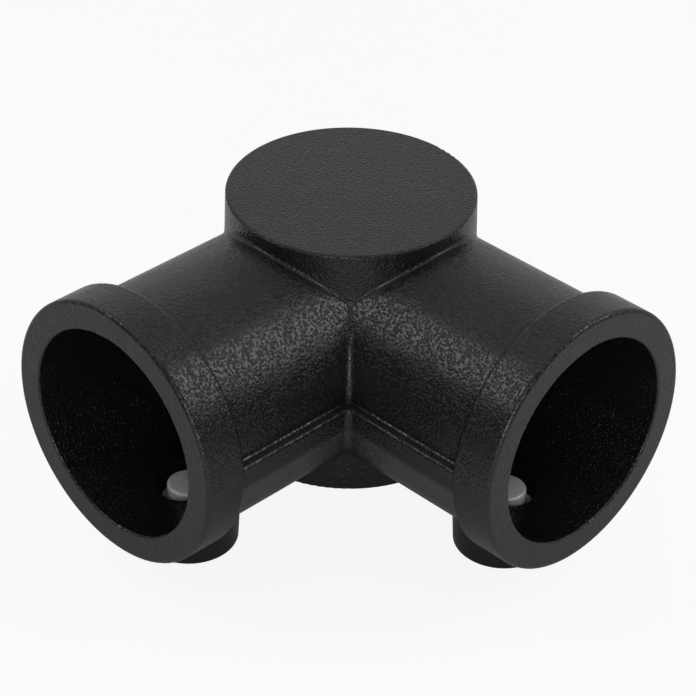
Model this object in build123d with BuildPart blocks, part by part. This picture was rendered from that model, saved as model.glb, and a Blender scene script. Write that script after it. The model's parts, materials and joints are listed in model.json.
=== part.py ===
"""Three-way corner tube clamp: two level sockets and one upright socket, all at 90 degrees.

One iron casting holds three tubes. Each socket has its own grub screw in a threaded boss.
The origin is where the three socket axes meet. The level sockets open towards +X and -Y,
the upright socket opens downwards, and its flat cap is on top. Millimetres, +Z up.
"""

import os
from math import acos, atan2, cos, hypot, radians, sin, tan

from build123d import *

# ---- tube and sockets
tube_diameter = 48.3
tube_clearance = 1.3         # socket bore over tube, on the diameter
wall = 3.8                   # barrel wall above the parting ledge
lower_wall = 4.25            # barrel wall below it
socket_depth = 44.0          # from a level socket's face to its stop
mouth_round = 0.5            # at each bore's mouth
stop_wall = 4.5              # iron left between the upright bore and a level bore's stop
stop_round = 1.5             # where a bore's wall meets its stop

# ---- hub round the upright socket
hub_wall = 4.0               # at the cap's rim
hub_draft = 1.5              # degrees, both ways from the parting plane
cap_rise = 3.7               # flat cap above the barrels' tops
cap_thickness = 5.0
cap_round = 0.6
hub_foot_drop = 2.4          # upright socket's face below the barrels' undersides
hub_foot_wall = 4.7          # at that face
hub_foot_round = 0.6

# ---- collars at the level sockets' mouths
collar_length = 10.8
collar_height = 3.0          # above the barrel
collar_face_round = 1.0
collar_back_round = 1.0
collar_root_round = 1.0

# ---- thicker band below the parting ledge
ledge_height = 1.8           # above the level axes
ledge_width = 2.4            # out from the barrel
ledge_round = 0.8
ledge_root_chamfer = 0.3
band_drop = 5.6              # straight side, down from the ledge
band_draft = 3.0             # degrees
band_round = 5.0             # where the side turns in to the round below
hub_band_margin = 0.4        # the band stands this much further out round the hub

# ---- cast fillets
crease_round = 1.5           # barrel to barrel, and to the hub below the ledge
hub_crease_round = 0.8       # hub to barrel above the ledge
boss_root_round = 1.0
upright_boss_root_round = 0.5

# ---- grub screws and their bosses
screw_setback = 22.15        # from a level socket's face to its screw's axis
boss_radius = 11.85          # at the barrel's underside
boss_draft = 3.0             # degrees
boss_height = 10.95          # flat end out from the barrel's underside
boss_end_round = 0.8
thread_minor_diameter = 14.95
thread_clearance = 0.05      # radial, screw in its hole
hole_chamfer = 0.8
screw_recess = 0.8           # screw's outer end below the boss's end
screw_end_chamfer = 0.8
point_diameter = 10.0
point_length = 4.6
point_round = 0.7
point_proud = 0.2            # the point stands this far into the bore
key_across_flats = 8.0
key_depth = 6.5

# ---- worked out from the above
bore_radius = (tube_diameter + tube_clearance) / 2
barrel_radius = bore_radius + wall
lower_radius = bore_radius + lower_wall
hub_radius = bore_radius + hub_wall
hub_foot_radius = bore_radius + hub_foot_wall
collar_radius = barrel_radius + collar_height
band_half_width = barrel_radius + ledge_width
cap_height = barrel_radius + cap_rise
hub_depth = lower_radius + hub_foot_drop
stop = bore_radius + stop_wall
reach = stop + socket_depth
collar_back = reach - collar_length
upright_stop = cap_height - cap_thickness
screw_reach = reach - screw_setback
boss_end = lower_radius + boss_height
boss_end_radius = boss_radius - boss_height * tan(radians(boss_draft))
hole_radius = thread_minor_diameter / 2
screw_radius = hole_radius - thread_clearance
point_end = bore_radius - point_proud
shoulder = point_end + point_length
screw_end = boss_end - screw_recess
draft_slope = tan(radians(hub_draft))

parting = Plane.XY.offset(ledge_height)
level_sockets = (Plane.YZ, Plane.XZ)    # they face +X and -Y
sockets = (Plane.YZ, Plane.XZ, Plane((0, 0, 0), x_dir=(1, 0, 0), z_dir=(0, 0, -1)))

# Each screw's plane lies on its socket's axis and faces out along the screw.
screw_planes = {
    "right_grub_screw": Plane((screw_reach, 0, 0), x_dir=(1, 0, 0), z_dir=(0, 0, -1)),
    "left_grub_screw": Plane((0, -screw_reach, 0), x_dir=(0, 1, 0), z_dir=(0, 0, -1)),
    "upright_grub_screw": Plane((0, 0, 0), x_dir=(0, 0, 1), z_dir=(-1, 1, 0)),
}

boss_root_rounds = {
    "right_grub_screw": boss_root_round,
    "left_grub_screw": boss_root_round,
    "upright_grub_screw": upright_boss_root_round,
}

# The band's straight side ends at side_foot, and a flat runs in from there to touch the
# round of the barrel's lower half at run_out. Both are (across, up) in a socket's section.
side_foot = (band_half_width - band_drop * tan(radians(band_draft)), ledge_height - band_drop)
run_out_angle = atan2(side_foot[1], side_foot[0]) - acos(lower_radius / hypot(*side_foot))
run_out = (lower_radius * cos(run_out_angle), lower_radius * sin(run_out_angle))


def is_crease(edge):
    """A curved seam where two round bodies run into each other."""
    return edge.geom_type not in (GeomType.LINE, GeomType.CIRCLE, GeomType.BEZIER)


def is_mitre(edge):
    """A seam in the upright plane half way between the two level sockets."""
    middle = edge.center()
    return abs(middle.X + middle.Y) < 0.01 and middle.X > bore_radius / 2


def is_collar_root(edge):
    """The arc above the ledge where a barrel meets its collar's back."""
    middle = edge.center()
    at_back = abs(max(middle.X, -middle.Y) - collar_back) < 0.01
    on_barrel = edge.geom_type == GeomType.CIRCLE and abs(edge.radius - barrel_radius) < 0.01
    return at_back and on_barrel and middle.Z > ledge_height


def boss_root(part, screw_plane):
    """The curved seams round a boss where it leaves the rest of the casting."""
    near_boss = []
    for edge in part.edges().filter_by(is_crease):
        middle = screw_plane.to_local_coords(edge.center())
        beside = hypot(middle.X, middle.Y) < boss_radius + boss_root_round
        if beside and bore_radius < middle.Z < boss_end - boss_root_round:
            near_boss.append(edge)
    return near_boss


def is_bore_mouth(edge):
    """The rim of a bore in its socket's face."""
    on_bore = edge.geom_type == GeomType.CIRCLE and abs(edge.radius - bore_radius) < 0.01
    middle = edge.center(CenterOf.MASS)
    out = max(middle.X, -middle.Y, -middle.Z)
    return on_bore and min(abs(out - reach), abs(out - hub_depth)) < 0.01


def is_hole_mouth(edge):
    """The rim of a screw hole in its boss's end."""
    return edge.geom_type == GeomType.CIRCLE and abs(edge.radius - hole_radius) < 0.01


# ---- bosses, one on each screw's axis, into the wall of its socket
bosses = {}
for name, screw_plane in screw_planes.items():
    with BuildPart() as boss:
        with BuildSketch(screw_plane.offset(boss_end)):
            Circle(boss_end_radius)
        extrude(amount=bore_radius - boss_end, taper=-boss_draft)
        end_rim = boss.edges().filter_by(GeomType.CIRCLE).sort_by(SortBy.RADIUS)[0]
        fillet(end_rim, boss_end_round)
    bosses[name] = boss.part

# ---- bores, each with a rounded stop
bores = []
bore_ends = ((stop, reach), (stop, reach), (-upright_stop, hub_depth))
for socket, (start, end) in zip(sockets, bore_ends):
    with BuildPart() as bore:
        with BuildSketch(socket.offset(start)):
            Circle(bore_radius)
        extrude(amount=end - start)
        fillet(bore.faces().sort_by(Axis((0, 0, 0), socket.z_dir))[0].edges(), stop_round)
    bores.append(bore.part)

# ---- collars at the level mouths
collars = []
for socket in level_sockets:
    with BuildPart() as collar:
        with BuildSketch(socket.offset(collar_back)):
            Circle(collar_radius)
        extrude(amount=collar_length)
        out = Axis((0, 0, 0), socket.z_dir)
        fillet(collar.faces().sort_by(out)[0].edges(), collar_back_round)
        fillet(collar.faces().sort_by(out)[-1].edges(), collar_face_round)
    collars.append(collar.part)

# ---- upper half of the casting: cap, hub and barrels above the parting ledge
with BuildPart() as upper_half:
    with BuildSketch(Plane.XZ):
        with BuildLine():
            Polyline(
                (0, -cap_height),
                (hub_radius + 2 * cap_height * draft_slope, -cap_height),
                (hub_radius, cap_height),
                (0, cap_height),
                close=True,
            )
        make_face()
    revolve(axis=Axis.Z)
    for socket in level_sockets:
        with BuildSketch(socket):
            Circle(barrel_radius)
        extrude(amount=reach - collar_length / 2)
    fillet(upper_half.edges().filter_by(is_mitre), crease_round)
    fillet(upper_half.edges().filter_by(is_crease), hub_crease_round)
    split(bisect_by=parting, keep=Keep.TOP)
    fillet(upper_half.faces().sort_by(Axis.Z)[-1].edges(), cap_round)

# ---- lower half: hub, barrels and level bosses, with the band under the ledge
with BuildPart() as lower_half:
    with BuildSketch(Plane.XZ):
        with BuildLine():
            Polyline(
                (0, -hub_depth),
                (hub_foot_radius, -hub_depth),
                (hub_foot_radius + (hub_depth + run_out[1]) * draft_slope, run_out[1]),
                (side_foot[0] + hub_band_margin, side_foot[1]),
                (band_half_width + hub_band_margin, ledge_height),
                (0, ledge_height),
                close=True,
            )
        make_face()
    revolve(axis=Axis.Z)
    for socket in level_sockets:
        with BuildSketch(socket) as section:
            with BuildLine():
                Polyline(
                    (-run_out[0], run_out[1]),
                    (-side_foot[0], side_foot[1]),
                    (-band_half_width, ledge_height),
                    (band_half_width, ledge_height),
                    side_foot,
                    run_out,
                )
                ThreePointArc(run_out, (0, -lower_radius), (-run_out[0], run_out[1]))
            make_face()
            side_feet = section.vertices().filter_by(lambda v: abs(v.Y - side_foot[1]) < 0.01)
            fillet(side_feet, band_round)
        extrude(amount=reach - collar_length / 2)
    fillet(lower_half.edges().filter_by(lambda e: is_crease(e) or is_mitre(e)), crease_round)
    fillet(lower_half.faces().sort_by(Axis.Z)[0].edges(), hub_foot_round)
    ledge = lower_half.faces().sort_by(Axis.Z)[-1]
    barrel_ends = lower_half.faces().filter_by(Plane.YZ) + lower_half.faces().filter_by(Plane.XZ)
    fillet([edge for edge in ledge.edges() if edge not in barrel_ends.edges()], ledge_round)

# ---- the casting
with BuildPart() as casting:
    add(upper_half.part)
    add(lower_half.part)
    foot_edges = upper_half.faces().sort_by(Axis.Z)[0].edges()
    ledge_root = [
        edge
        for edge in casting.edges()
        if any((edge.center() - foot.center()).length < 0.01 for foot in foot_edges)
    ]
    chamfer(ledge_root, ledge_root_chamfer)
    for collar_part in collars:
        add(collar_part)
    fillet(casting.edges().filter_by(is_collar_root), collar_root_round)
    for name, screw_plane in screw_planes.items():
        add(bosses[name])
        fillet(boss_root(casting, screw_plane), boss_root_rounds[name])

    for bore_part in bores:
        add(bore_part, mode=Mode.SUBTRACT)
    fillet(casting.edges().filter_by(is_bore_mouth), mouth_round)
    for screw_plane in screw_planes.values():
        with BuildSketch(screw_plane.offset(boss_end)):
            Circle(hole_radius)
        extrude(amount=-boss_end, mode=Mode.SUBTRACT)
    chamfer(casting.edges().filter_by(is_hole_mouth), hole_chamfer)

os.makedirs("parts", exist_ok=True)
casting.part.label = "casting"
export_step(casting.part, "parts/casting.step")

# ---- grub screws: a threaded body with a dog point, and a hexagon socket in the outer end
for name, screw_plane in screw_planes.items():
    with BuildPart() as screw:
        with BuildSketch(screw_plane.offset(screw_end)):
            Circle(screw_radius)
        extrude(amount=shoulder - screw_end)
        with BuildSketch(screw_plane.offset(shoulder)):
            Circle(point_diameter / 2)
        extrude(amount=point_end - shoulder)
        out = Axis(screw_plane.origin, screw_plane.z_dir)
        rims = screw.edges().filter_by(GeomType.CIRCLE).sort_by(out)
        fillet(rims[0], point_round)
        chamfer(rims[-1], screw_end_chamfer)
        with BuildSketch(screw_plane.offset(screw_end)):
            RegularPolygon(key_across_flats / 2, 6, major_radius=False)
        extrude(amount=-key_depth, mode=Mode.SUBTRACT)
    screw.part.label = name
    export_step(screw.part, f"parts/{name}.step")
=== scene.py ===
"""Finishes the corner tube clamp: powder-coated casting, threaded grub screws, plain studio."""

import json
import math

import bmesh
import bpy
from bpy.props import FloatProperty, FloatVectorProperty, IntProperty, PointerProperty
from mathutils import Matrix, Vector


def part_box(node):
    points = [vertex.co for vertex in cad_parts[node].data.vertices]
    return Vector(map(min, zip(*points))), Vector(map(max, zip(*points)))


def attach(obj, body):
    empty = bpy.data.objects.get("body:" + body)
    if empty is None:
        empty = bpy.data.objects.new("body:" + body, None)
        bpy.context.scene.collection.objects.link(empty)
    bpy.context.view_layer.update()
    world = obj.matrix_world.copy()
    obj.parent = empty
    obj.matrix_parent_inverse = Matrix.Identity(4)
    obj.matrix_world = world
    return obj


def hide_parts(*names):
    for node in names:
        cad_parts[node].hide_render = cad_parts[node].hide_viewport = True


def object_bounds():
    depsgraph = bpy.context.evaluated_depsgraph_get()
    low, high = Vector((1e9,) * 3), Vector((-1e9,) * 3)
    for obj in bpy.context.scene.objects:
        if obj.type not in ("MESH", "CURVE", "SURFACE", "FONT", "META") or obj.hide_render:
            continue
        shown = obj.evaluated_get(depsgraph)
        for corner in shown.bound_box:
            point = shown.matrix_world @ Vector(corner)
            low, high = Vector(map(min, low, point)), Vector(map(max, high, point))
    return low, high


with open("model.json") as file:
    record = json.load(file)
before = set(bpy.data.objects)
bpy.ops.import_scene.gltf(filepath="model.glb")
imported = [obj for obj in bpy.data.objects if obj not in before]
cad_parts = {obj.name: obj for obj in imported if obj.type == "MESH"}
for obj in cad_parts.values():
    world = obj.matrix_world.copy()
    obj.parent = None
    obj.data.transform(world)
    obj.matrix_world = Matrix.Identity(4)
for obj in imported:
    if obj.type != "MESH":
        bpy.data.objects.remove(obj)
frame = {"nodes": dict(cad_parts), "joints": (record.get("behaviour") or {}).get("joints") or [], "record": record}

bl_info = {
    "name": "Corner tube clamp",
    "version": (1, 0, 0),
    "blender": (4, 5, 0),
    "location": "3D View > Sidebar > Tube Clamp",
    "description": "Powder-coated casting with threaded grub screws in a plain studio",
    "category": "Object",
}

MM = 0.001
CAD_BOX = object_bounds()
SCREW_NODES = ("right_grub_screw", "left_grub_screw", "upright_grub_screw")

# Noise runs from 0 to 1 about 0.5: a bump starts at the first value and is full at the second.
BUMP_RANGE = (0.42, 0.78)
# The values of the coarse noise between which the roughness changes.
MOTTLE_RANGE = (0.3, 0.7)

WELD = 0.01 * MM  # vertices nearer than this become one
CUT_TOLERANCE = 0.001 * MM  # edges this near to a cut lie on it, and vertices this near are one
POINT_STEPS = 6  # straight steps in the round at the dog point's edge
DRILL_TIP = 0.05  # width of the drilled end's tip, as a share of the hexagon's
DRILL_DEPTH = 0.3  # depth of the drilled end, as a share of the key size
PATCH_GRAINS = 8  # grains across one patch of even roughness on the screws

FLOOR_HALF_WIDTH = 3.0
FLOOR_GAP = 0.05 * MM  # keeps the floor out of the plane of the lowest faces
FLOOR_COLOUR = (0.85, 0.85, 0.85, 1)
FLOOR_GLOW = 1.05  # strength of the plain white in the floor
WHITE = (1, 1, 1, 1)
BEHIND_FROM = 0.1  # cosine to the line of sight at which the light from behind starts

LAMPS = {
    # name: (turn from the camera's side, elevation, distance, width, height, radiance);
    # angles in degrees, lengths in metres
    "overhead": (0, 88, 0.9, 0.8, 0.8, 0.5),
    "left": (-90, 44, 0.7, 0.27, 0.34, 2.6),
    "right": (90, 38, 0.7, 0.27, 0.42, 3.0),
    "front": (0, 22, 0.7, 0.34, 0.42, 3.5),
}


# ---------------------------------------------------------------- settings


class CoatSettings(bpy.types.PropertyGroup):
    """Black powder coat on the casting."""

    colour: FloatVectorProperty(
        name="Colour",
        description="Colour of the coat",
        subtype="COLOR",
        size=3,
        min=0,
        max=1,
        default=(0.007, 0.007, 0.0073),
    )
    roughness: FloatProperty(
        name="Roughness",
        description="Mean roughness of the coat",
        subtype="FACTOR",
        min=0,
        max=1,
        default=0.22,
    )
    roughness_spread: FloatProperty(
        name="Roughness spread",
        description="How far the coat's roughness goes above and below its mean",
        subtype="FACTOR",
        min=0,
        max=1,
        default=0.03,
    )
    peel_size: FloatProperty(
        name="Peel size",
        description="Width of one bump of the coat's orange peel",
        subtype="DISTANCE",
        unit="LENGTH",
        default=0.6 * MM,
    )
    peel_height: FloatProperty(
        name="Peel height",
        description="Height of the orange peel",
        subtype="DISTANCE",
        unit="LENGTH",
        default=0.11 * MM,
    )
    swell_size: FloatProperty(
        name="Swell size",
        description="Width of the casting's own unevenness under the coat",
        subtype="DISTANCE",
        unit="LENGTH",
        default=6 * MM,
    )
    swell_height: FloatProperty(
        name="Swell height",
        description="Height of the casting's own unevenness",
        subtype="DISTANCE",
        unit="LENGTH",
        default=0.08 * MM,
    )


class ScrewSettings(bpy.types.PropertyGroup):
    """Grub screws."""

    colour: FloatVectorProperty(
        name="Colour",
        description="Colour of the steel",
        subtype="COLOR",
        size=3,
        min=0,
        max=1,
        default=(0.8, 0.79, 0.77),
    )
    metallic: FloatProperty(
        name="Metallic",
        description="How metallic the dull plated steel looks",
        subtype="FACTOR",
        min=0,
        max=1,
        default=0.2,
    )
    roughness: FloatProperty(
        name="Roughness",
        description="Mean roughness of the steel",
        subtype="FACTOR",
        min=0,
        max=1,
        default=0.5,
    )
    roughness_spread: FloatProperty(
        name="Roughness spread",
        description="How far the steel's roughness goes above and below its mean",
        subtype="FACTOR",
        min=0,
        max=1,
        default=0.08,
    )
    pitch: FloatProperty(
        name="Thread pitch",
        description="Distance from one thread to the next",
        subtype="DISTANCE",
        unit="LENGTH",
        default=1.337 * MM,
    )
    thread_depth: FloatProperty(
        name="Thread depth",
        description="Depth of the thread's grooves",
        subtype="DISTANCE",
        unit="LENGTH",
        default=0.82 * MM,
    )
    end_chamfer: FloatProperty(
        name="End chamfer",
        description="Chamfer at both ends of the thread",
        subtype="DISTANCE",
        unit="LENGTH",
        default=1.0 * MM,
    )
    point_radius: FloatProperty(
        name="Point radius",
        description="Radius of the dog point",
        subtype="DISTANCE",
        unit="LENGTH",
        default=5 * MM,
    )
    point_length: FloatProperty(
        name="Point length",
        description="Length of the dog point",
        subtype="DISTANCE",
        unit="LENGTH",
        default=4.6 * MM,
    )
    point_round: FloatProperty(
        name="Point edge round",
        description="Round at the edge of the dog point",
        subtype="DISTANCE",
        unit="LENGTH",
        default=0.7 * MM,
    )
    key_size: FloatProperty(
        name="Key size",
        description="Width across the flats of the hexagon socket",
        subtype="DISTANCE",
        unit="LENGTH",
        default=8 * MM,
    )
    key_depth: FloatProperty(
        name="Key depth",
        description="Depth of the hexagon socket",
        subtype="DISTANCE",
        unit="LENGTH",
        default=6.5 * MM,
    )
    grain_size: FloatProperty(
        name="Grain size",
        description="Width of one grain of the plated surface",
        subtype="DISTANCE",
        unit="LENGTH",
        default=0.25 * MM,
    )
    grain_height: FloatProperty(
        name="Grain height",
        description="Height of the plated surface's grain",
        subtype="DISTANCE",
        unit="LENGTH",
        default=0.015 * MM,
    )
    turn_steps: IntProperty(
        name="Steps a turn",
        description="Straight steps in one turn of the thread",
        min=12,
        max=96,
        default=48,
    )


class StudioSettings(bpy.types.PropertyGroup):
    """Floor, lamps and camera."""

    camera_target: FloatVectorProperty(
        name="Target",
        description="Point that the camera looks at",
        subtype="TRANSLATION",
        unit="LENGTH",
        size=3,
        default=(11.883 * MM, -12.149 * MM, 0),
    )
    camera_distance: FloatProperty(
        name="Distance",
        description="Distance from the camera to its target",
        subtype="DISTANCE",
        unit="LENGTH",
        default=598.1 * MM,
    )
    camera_azimuth: FloatProperty(
        name="Azimuth",
        description="Camera's turn round the object from straight in front",
        subtype="ANGLE",
        default=math.radians(44.408),
    )
    camera_elevation: FloatProperty(
        name="Elevation",
        description="Camera's height above the horizon",
        subtype="ANGLE",
        default=math.radians(34.4),
    )
    camera_roll: FloatProperty(
        name="Roll",
        description="Camera's turn about its own line of sight",
        subtype="ANGLE",
        default=math.radians(1.229),
    )
    floor_white: FloatProperty(
        name="Floor white",
        description="Share of plain white in the floor that the camera sees",
        subtype="FACTOR",
        min=0,
        max=1,
        default=0.85,
    )
    glossy_white: FloatProperty(
        name="Glossy white",
        description="Share of plain white in the floor and the back that reflections show",
        subtype="FACTOR",
        min=0,
        max=1,
        default=0.03,
    )
    front_light: FloatProperty(
        name="Front light",
        description="Strength of the room's light from in front",
        default=0.1,
        min=0,
    )
    back_light: FloatProperty(
        name="Back light",
        description="Strength of the room's light from behind",
        default=0.66,
        min=0,
    )
    lens: FloatProperty(
        name="Lens",
        description="Focal length on a 36 mm sensor, in millimetres",
        default=134.7,
        min=20,
        max=400,
    )


# ---------------------------------------------------------------- helpers


def link(tree, *pairs):
    """Joins pairs of sockets, each from an output to an input."""
    for source, target in pairs:
        tree.links.new(source, target)


def maths(tree, operation, *values, clamp=False):
    """A Math node on sockets and plain numbers; returns its output."""
    node = tree.nodes.new("ShaderNodeMath")
    node.operation = operation
    node.use_clamp = clamp
    for value, entry in zip(values, node.inputs):
        if isinstance(value, bpy.types.NodeSocket):
            link(tree, (value, entry))
        else:
            entry.default_value = value
    return node.outputs["Value"]


def ranged(tree, value, given, wanted=(0.0, 1.0), smooth=False):
    """A Map Range node from one pair of limits to another; returns its output."""
    node = tree.nodes.new("ShaderNodeMapRange")
    node.interpolation_type = "SMOOTHSTEP" if smooth else "LINEAR"
    node.inputs["From Min"].default_value, node.inputs["From Max"].default_value = given
    node.inputs["To Min"].default_value, node.inputs["To Max"].default_value = wanted
    link(tree, (value, node.inputs["Value"]))
    return node.outputs["Result"]


def new_material(name):
    """A material with one Principled shader; returns the material and the shader node."""
    material = bpy.data.materials.new(name)
    material.use_nodes = True
    tree = material.node_tree
    tree.nodes.clear()
    output = tree.nodes.new("ShaderNodeOutputMaterial")
    shader = tree.nodes.new("ShaderNodeBsdfPrincipled")
    link(tree, (shader.outputs["BSDF"], output.inputs["Surface"]))
    return material, shader


def paint(piece, material):
    """Gives a piece one material."""
    piece.data.materials.clear()
    piece.data.materials.append(material)


def new_piece(name, bm):
    """Turns a finished bmesh into an object at the origin."""
    mesh = bpy.data.meshes.new(name)
    bm.to_mesh(mesh)
    bm.free()
    piece = bpy.data.objects.new(name, mesh)
    bpy.context.collection.objects.link(piece)
    return piece


def direction(azimuth, elevation):
    """Unit vector towards that azimuth, where 0 is in front at -Y and 90 degrees is +X."""
    level = math.cos(elevation)
    return Vector((math.sin(azimuth) * level, -math.cos(azimuth) * level, math.sin(elevation)))


# ---------------------------------------------------------------- shared node group


def uneven_group():
    """Node group, made once: a fine and a coarse unevenness, as a height in metres and a mask."""
    if "uneven_surface" in bpy.data.node_groups:
        return bpy.data.node_groups["uneven_surface"]
    group = bpy.data.node_groups.new("uneven_surface", "ShaderNodeTree")
    for way, names in (
        ("INPUT", ("Peel size", "Peel height", "Swell size", "Swell height")),
        ("OUTPUT", ("Height", "Mottle")),
    ):
        for name in names:
            group.interface.new_socket(name, in_out=way, socket_type="NodeSocketFloat")
    given = group.nodes.new("NodeGroupInput").outputs
    result = group.nodes.new("NodeGroupOutput").inputs
    place = group.nodes.new("ShaderNodeTexCoord").outputs["Object"]

    def noise(size, detail):
        texture = group.nodes.new("ShaderNodeTexNoise")
        texture.inputs["Detail"].default_value = detail
        texture.inputs["Roughness"].default_value = 0.5
        scale = maths(group, "DIVIDE", 1.0, size)
        link(group, (scale, texture.inputs["Scale"]), (place, texture.inputs["Vector"]))
        return texture.outputs["Fac"]

    peel = ranged(group, noise(given["Peel size"], detail=2.0), BUMP_RANGE, smooth=True)
    swell = noise(given["Swell size"], detail=1.0)
    height = maths(
        group,
        "ADD",
        maths(group, "MULTIPLY", peel, given["Peel height"]),
        maths(group, "MULTIPLY", swell, given["Swell height"]),
    )
    link(group, (height, result["Height"]), (swell, result["Mottle"]))
    return group


def add_uneven(material, shader, sizes, roughness, spread):
    """Places the unevenness group in a material as its bump and as a change of its roughness."""
    tree = material.node_tree
    uneven = tree.nodes.new("ShaderNodeGroup")
    uneven.node_tree = uneven_group()
    for name, value in sizes.items():
        uneven.inputs[name].default_value = value
    bump = tree.nodes.new("ShaderNodeBump")
    bump.inputs["Strength"].default_value = 1.0
    bump.inputs["Distance"].default_value = 1.0
    limits = (roughness - spread, roughness + spread)
    gloss = ranged(tree, uneven.outputs["Mottle"], MOTTLE_RANGE, limits)
    link(
        tree,
        (uneven.outputs["Height"], bump.inputs["Height"]),
        (bump.outputs["Normal"], shader.inputs["Normal"]),
        (gloss, shader.inputs["Roughness"]),
    )


# ---------------------------------------------------------------- pieces


def screw_places():
    """For each screw node: its body, its middle and the way out along it, from the frame."""
    places = {}
    for joint in frame["joints"]:
        child = joint["child"]
        node = next(n for n in SCREW_NODES if n in frame["record"]["behaviour"]["bodies"][child])
        low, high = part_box(node)
        places[node] = (child, (low + high) / 2, -Vector(joint["axis"]).normalized())
    return places


def screw_mesh(settings, radius, length):
    """One grub screw on the Z axis, middle at the origin, its hexagon socket at +Z."""
    top = length / 2
    shoulder = settings.point_length - length / 2
    crest, root = radius, radius - settings.thread_depth
    pitch, steps = settings.pitch, settings.turn_steps
    # the thread starts and ends a turn past the screw and is cut off at both ends
    start = shoulder - pitch
    turns = math.ceil((top - shoulder) / pitch) + 2
    # one pitch of it: height as a share of the pitch, and radius
    profile = ((0.0, root), (0.06, root), (0.44, crest), (0.56, crest), (0.94, root), (1.0, root))
    bm = bmesh.new()
    points = [bm.verts.new((r, 0, start + share * pitch)) for share, r in profile]
    edges = [bm.edges.new(pair) for pair in zip(points, points[1:])]
    bmesh.ops.spin(
        bm,
        geom=points + edges,
        cent=(0, 0, 0),
        axis=(0, 0, 1),
        dvec=(0, 0, pitch / steps),
        angle=2 * math.pi * turns,
        steps=steps * turns,
        use_merge=False,
    )
    bmesh.ops.remove_doubles(bm, verts=bm.verts, dist=WELD)
    for level, way in ((shoulder, -1), (top, 1)):
        bmesh.ops.bisect_plane(
            bm,
            geom=bm.verts[:] + bm.edges[:] + bm.faces[:],
            plane_co=(0, 0, level),
            plane_no=(0, 0, way),
            clear_outer=True,
        )
    # a cut that meets a vertex leaves it double
    bmesh.ops.remove_doubles(bm, verts=bm.verts, dist=CUT_TOLERANCE)
    # chamfers at 45 degrees: nothing stands outside a cone at either end
    for vert in bm.verts:
        from_end = min(top - vert.co.z, vert.co.z - shoulder)
        cone = crest - settings.end_chamfer + from_end
        reach = vert.co.xy.length
        if reach > cone:
            vert.co.xy *= cone / reach
    finish_screw_ends(bm, settings, top, shoulder)
    bmesh.ops.recalc_face_normals(bm, faces=bm.faces)
    return bm


def rim(bm, level):
    """The open edges at one height."""
    return [
        edge
        for edge in bm.edges
        if edge.is_boundary and all(abs(v.co.z - level) < CUT_TOLERANCE for v in edge.verts)
    ]


def extruded(bm, edges, widen=1.0, lift=0.0):
    """Extrudes an open ring, scales it about the Z axis and lifts it; returns the new ring."""
    grown = bmesh.ops.extrude_edge_only(bm, edges=edges)["geom"]
    verts = [g for g in grown if isinstance(g, bmesh.types.BMVert)]
    bmesh.ops.scale(bm, vec=(widen, widen, 1), verts=verts)
    bmesh.ops.translate(bm, vec=(0, 0, lift), verts=verts)
    return [g for g in grown if isinstance(g, bmesh.types.BMEdge) and g.is_boundary]


def finish_screw_ends(bm, settings, top, shoulder):
    """The hexagon socket at the top and the dog point below the shoulder."""
    end_radius = max(v.co.xy.length for e in rim(bm, shoulder) for v in e.verts)
    neck = extruded(bm, rim(bm, shoulder), settings.point_radius / end_radius)
    side = extruded(bm, neck, lift=settings.point_round - settings.point_length)
    radius, height = settings.point_radius, 0.0
    for step in range(1, POINT_STEPS + 1):
        turn = math.pi / 2 * step / POINT_STEPS
        new_radius = settings.point_radius - settings.point_round * (1 - math.cos(turn))
        new_height = settings.point_round * math.sin(turn)
        side = extruded(bm, side, new_radius / radius, height - new_height)
        radius, height = new_radius, new_height
    bmesh.ops.edgeloop_fill(bm, edges=side)

    hexagon = bmesh.ops.create_circle(
        bm,
        segments=6,
        radius=settings.key_size / math.sqrt(3),
        matrix=Matrix.Translation((0, 0, top)),
    )
    hex_edges = list(dict.fromkeys(e for v in hexagon["verts"] for e in v.link_edges))
    bmesh.ops.bridge_loops(bm, edges=rim(bm, top) + hex_edges)
    floor = extruded(bm, hex_edges, lift=-settings.key_depth)
    drill = extruded(bm, floor, DRILL_TIP, -DRILL_DEPTH * settings.key_size)
    bmesh.ops.edgeloop_fill(bm, edges=drill)


# ---------------------------------------------------------------- stage


def seen_share(tree, studio):
    """Socket with 1 for what the camera sees, straight or through glass, and less for gloss."""
    path = tree.nodes.new("ShaderNodeLightPath").outputs
    glossy = maths(
        tree,
        "MULTIPLY_ADD",
        path["Is Glossy Ray"],
        studio.glossy_white,
        path["Is Transmission Ray"],
    )
    return maths(tree, "ADD", path["Is Camera Ray"], glossy, clamp=True)


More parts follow.
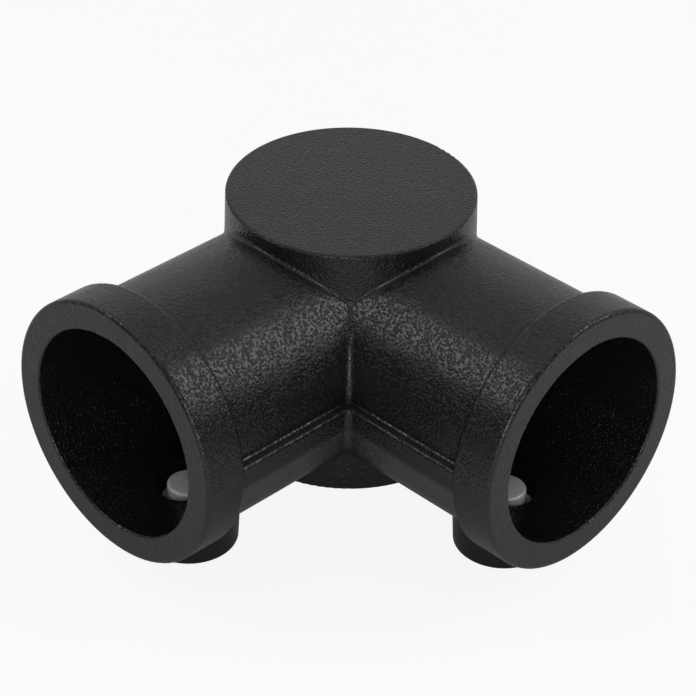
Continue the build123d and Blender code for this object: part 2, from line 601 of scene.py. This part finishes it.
def make_floor(studio):
    """A pale floor that the camera sees as white with the object's shadow, clear from below."""
    bm = bmesh.new()
    level = CAD_BOX[0].z - FLOOR_GAP
    bmesh.ops.create_grid(
        bm,
        x_segments=1,
        y_segments=1,
        size=FLOOR_HALF_WIDTH,
        matrix=Matrix.Translation((0, 0, level)),
    )
    floor = new_piece("floor", bm)
    material, shader = new_material("pale_floor")
    shader.inputs["Base Color"].default_value = FLOOR_COLOUR
    shader.inputs["Roughness"].default_value = 0.9
    shader.inputs["Specular IOR Level"].default_value = 0.1
    tree = material.node_tree
    white = tree.nodes.new("ShaderNodeEmission")
    white.inputs["Strength"].default_value = FLOOR_GLOW
    lit = tree.nodes.new("ShaderNodeMixShader")
    side = tree.nodes.new("ShaderNodeNewGeometry")
    clear = tree.nodes.new("ShaderNodeBsdfTransparent")
    one_sided = tree.nodes.new("ShaderNodeMixShader")
    output = next(n for n in tree.nodes if n.bl_idname == "ShaderNodeOutputMaterial")
    share = maths(tree, "MULTIPLY", seen_share(tree, studio), studio.floor_white)
    link(
        tree,
        (share, lit.inputs["Fac"]),
        (shader.outputs["BSDF"], lit.inputs[1]),
        (white.outputs["Emission"], lit.inputs[2]),
        (side.outputs["Backfacing"], one_sided.inputs["Fac"]),
        (lit.outputs["Shader"], one_sided.inputs[1]),
        (clear.outputs["BSDF"], one_sided.inputs[2]),
        (one_sided.outputs["Shader"], output.inputs["Surface"]),
    )
    paint(floor, material)


def make_world(scene, studio):
    """A room that is bright behind the object and dim in front of it, and white to the camera."""
    world = bpy.data.worlds.new("studio")
    scene.world = world
    world.use_nodes = True
    tree = world.node_tree
    tree.nodes.clear()
    output = tree.nodes.new("ShaderNodeOutputWorld")
    place = tree.nodes.new("ShaderNodeTexCoord")
    behind = tree.nodes.new("ShaderNodeVectorMath")
    behind.operation = "DOT_PRODUCT"
    behind.inputs[1].default_value = -direction(studio.camera_azimuth, 0)
    strength = ranged(
        tree,
        behind.outputs["Value"],
        (BEHIND_FROM, 1.0),
        (studio.front_light, studio.back_light),
    )
    room = tree.nodes.new("ShaderNodeBackground")
    room.inputs["Color"].default_value = WHITE
    white = tree.nodes.new("ShaderNodeBackground")
    white.inputs["Color"].default_value = WHITE
    mix = tree.nodes.new("ShaderNodeMixShader")
    link(
        tree,
        (place.outputs["Generated"], behind.inputs[0]),
        (strength, room.inputs["Strength"]),
        (seen_share(tree, studio), mix.inputs["Fac"]),
        (room.outputs["Background"], mix.inputs[1]),
        (white.outputs["Background"], mix.inputs[2]),
        (mix.outputs["Shader"], output.inputs["Surface"]),
    )


def make_lamps(studio):
    """Soft boxes round the object, each set by how bright its face is."""
    centre = (CAD_BOX[0] + CAD_BOX[1]) / 2
    turn = math.degrees(studio.camera_azimuth)
    for name, (azimuth, elevation, distance, width, height, radiance) in LAMPS.items():
        light = bpy.data.lights.new(name, "AREA")
        light.shape = "RECTANGLE"
        light.size = width
        light.size_y = height
        light.energy = math.pi * width * height * radiance
        lamp = bpy.data.objects.new(name, light)
        bpy.context.collection.objects.link(lamp)
        way = direction(math.radians(turn + azimuth), math.radians(elevation))
        lamp.location = centre + way * distance
        lamp.rotation_mode = "QUATERNION"
        lamp.rotation_quaternion = way.to_track_quat("Z", "Y")


def make_camera(scene, studio):
    """The main camera, aimed at its target and turned a little about its line of sight."""
    data = bpy.data.cameras.new("camera")
    data.lens = studio.lens
    data.sensor_width = 36
    camera = bpy.data.objects.new("camera", data)
    bpy.context.collection.objects.link(camera)
    back = direction(studio.camera_azimuth, studio.camera_elevation)
    target = Vector(studio.camera_target)
    camera.location = target + back * studio.camera_distance
    aim = (-back).to_track_quat("-Z", "Y").to_matrix()
    roll = Matrix.Rotation(studio.camera_roll, 3, back)
    camera.rotation_mode = "QUATERNION"
    camera.rotation_quaternion = (roll @ aim).to_quaternion()
    scene.camera = camera


# ---------------------------------------------------------------- operators


class TUBECLAMP_OT_casting(bpy.types.Operator):
    """Coats the casting"""

    bl_idname = "tubeclamp.casting"
    bl_label = "Coat casting"

    def execute(self, context):
        coat = context.scene.clamp_coat
        material, shader = new_material("black_powder_coat")
        shader.inputs["Base Color"].default_value = (*coat.colour, 1)
        sizes = {
            "Peel size": coat.peel_size,
            "Peel height": coat.peel_height,
            "Swell size": coat.swell_size,
            "Swell height": coat.swell_height,
        }
        add_uneven(material, shader, sizes, coat.roughness, coat.roughness_spread)
        paint(frame["nodes"]["casting"], material)
        return {"FINISHED"}


class TUBECLAMP_OT_grub_screws(bpy.types.Operator):
    """Makes the grub screws with their threads, dog points and hexagon sockets"""

    bl_idname = "tubeclamp.grub_screws"
    bl_label = "Make grub screws"

    def execute(self, context):
        settings = context.scene.clamp_screws
        material, shader = new_material("turned_steel")
        shader.inputs["Base Color"].default_value = (*settings.colour, 1)
        shader.inputs["Metallic"].default_value = settings.metallic
        sizes = {
            "Peel size": settings.grain_size,
            "Peel height": settings.grain_height,
            "Swell size": PATCH_GRAINS * settings.grain_size,
            "Swell height": 0.0,
        }
        add_uneven(material, shader, sizes, settings.roughness, settings.roughness_spread)
        low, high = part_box("right_grub_screw")
        radius, length = (high.x - low.x) / 2, high.z - low.z
        for node, (body, middle, way_out) in screw_places().items():
            bm = screw_mesh(settings, radius, length)
            turn = way_out.to_track_quat("Z", "Y").to_matrix().to_4x4()
            bmesh.ops.transform(bm, matrix=Matrix.Translation(middle) @ turn, verts=bm.verts)
            piece = new_piece(node.replace("grub_screw", "threaded_screw"), bm)
            paint(piece, material)
            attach(piece, body)
            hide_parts(node)
        return {"FINISHED"}


class TUBECLAMP_OT_studio(bpy.types.Operator):
    """Makes the floor, the lamps, the world and the camera"""

    bl_idname = "tubeclamp.studio"
    bl_label = "Make studio"

    def execute(self, context):
        studio = context.scene.clamp_studio
        make_floor(studio)
        make_world(context.scene, studio)
        make_lamps(studio)
        make_camera(context.scene, studio)
        context.scene.view_settings.view_transform = "Standard"
        return {"FINISHED"}


class TUBECLAMP_PT_panel(bpy.types.Panel):
    """Lists the pieces and their sizes"""

    bl_idname = "TUBECLAMP_PT_panel"
    bl_label = "Tube Clamp"
    bl_space_type = "VIEW_3D"
    bl_region_type = "UI"
    bl_category = "Tube Clamp"

    def draw(self, context):
        scene = context.scene
        for settings, operator in (
            (scene.clamp_coat, TUBECLAMP_OT_casting),
            (scene.clamp_screws, TUBECLAMP_OT_grub_screws),
            (scene.clamp_studio, TUBECLAMP_OT_studio),
        ):
            box = self.layout.box()
            for name in settings.__annotations__:
                box.prop(settings, name)
            box.operator(operator.bl_idname)


CLASSES = (
    CoatSettings,
    ScrewSettings,
    StudioSettings,
    TUBECLAMP_OT_casting,
    TUBECLAMP_OT_grub_screws,
    TUBECLAMP_OT_studio,
    TUBECLAMP_PT_panel,
)


def register():
    for cls in CLASSES:
        bpy.utils.register_class(cls)
    bpy.types.Scene.clamp_coat = PointerProperty(type=CoatSettings)
    bpy.types.Scene.clamp_screws = PointerProperty(type=ScrewSettings)
    bpy.types.Scene.clamp_studio = PointerProperty(type=StudioSettings)


def unregister():
    del bpy.types.Scene.clamp_studio
    del bpy.types.Scene.clamp_screws
    del bpy.types.Scene.clamp_coat
    for cls in reversed(CLASSES):
        bpy.utils.unregister_class(cls)


def main():
    register()
    bpy.ops.tubeclamp.casting()
    bpy.ops.tubeclamp.grub_screws()
    bpy.ops.tubeclamp.studio()


if __name__ == "__main__":
    main()
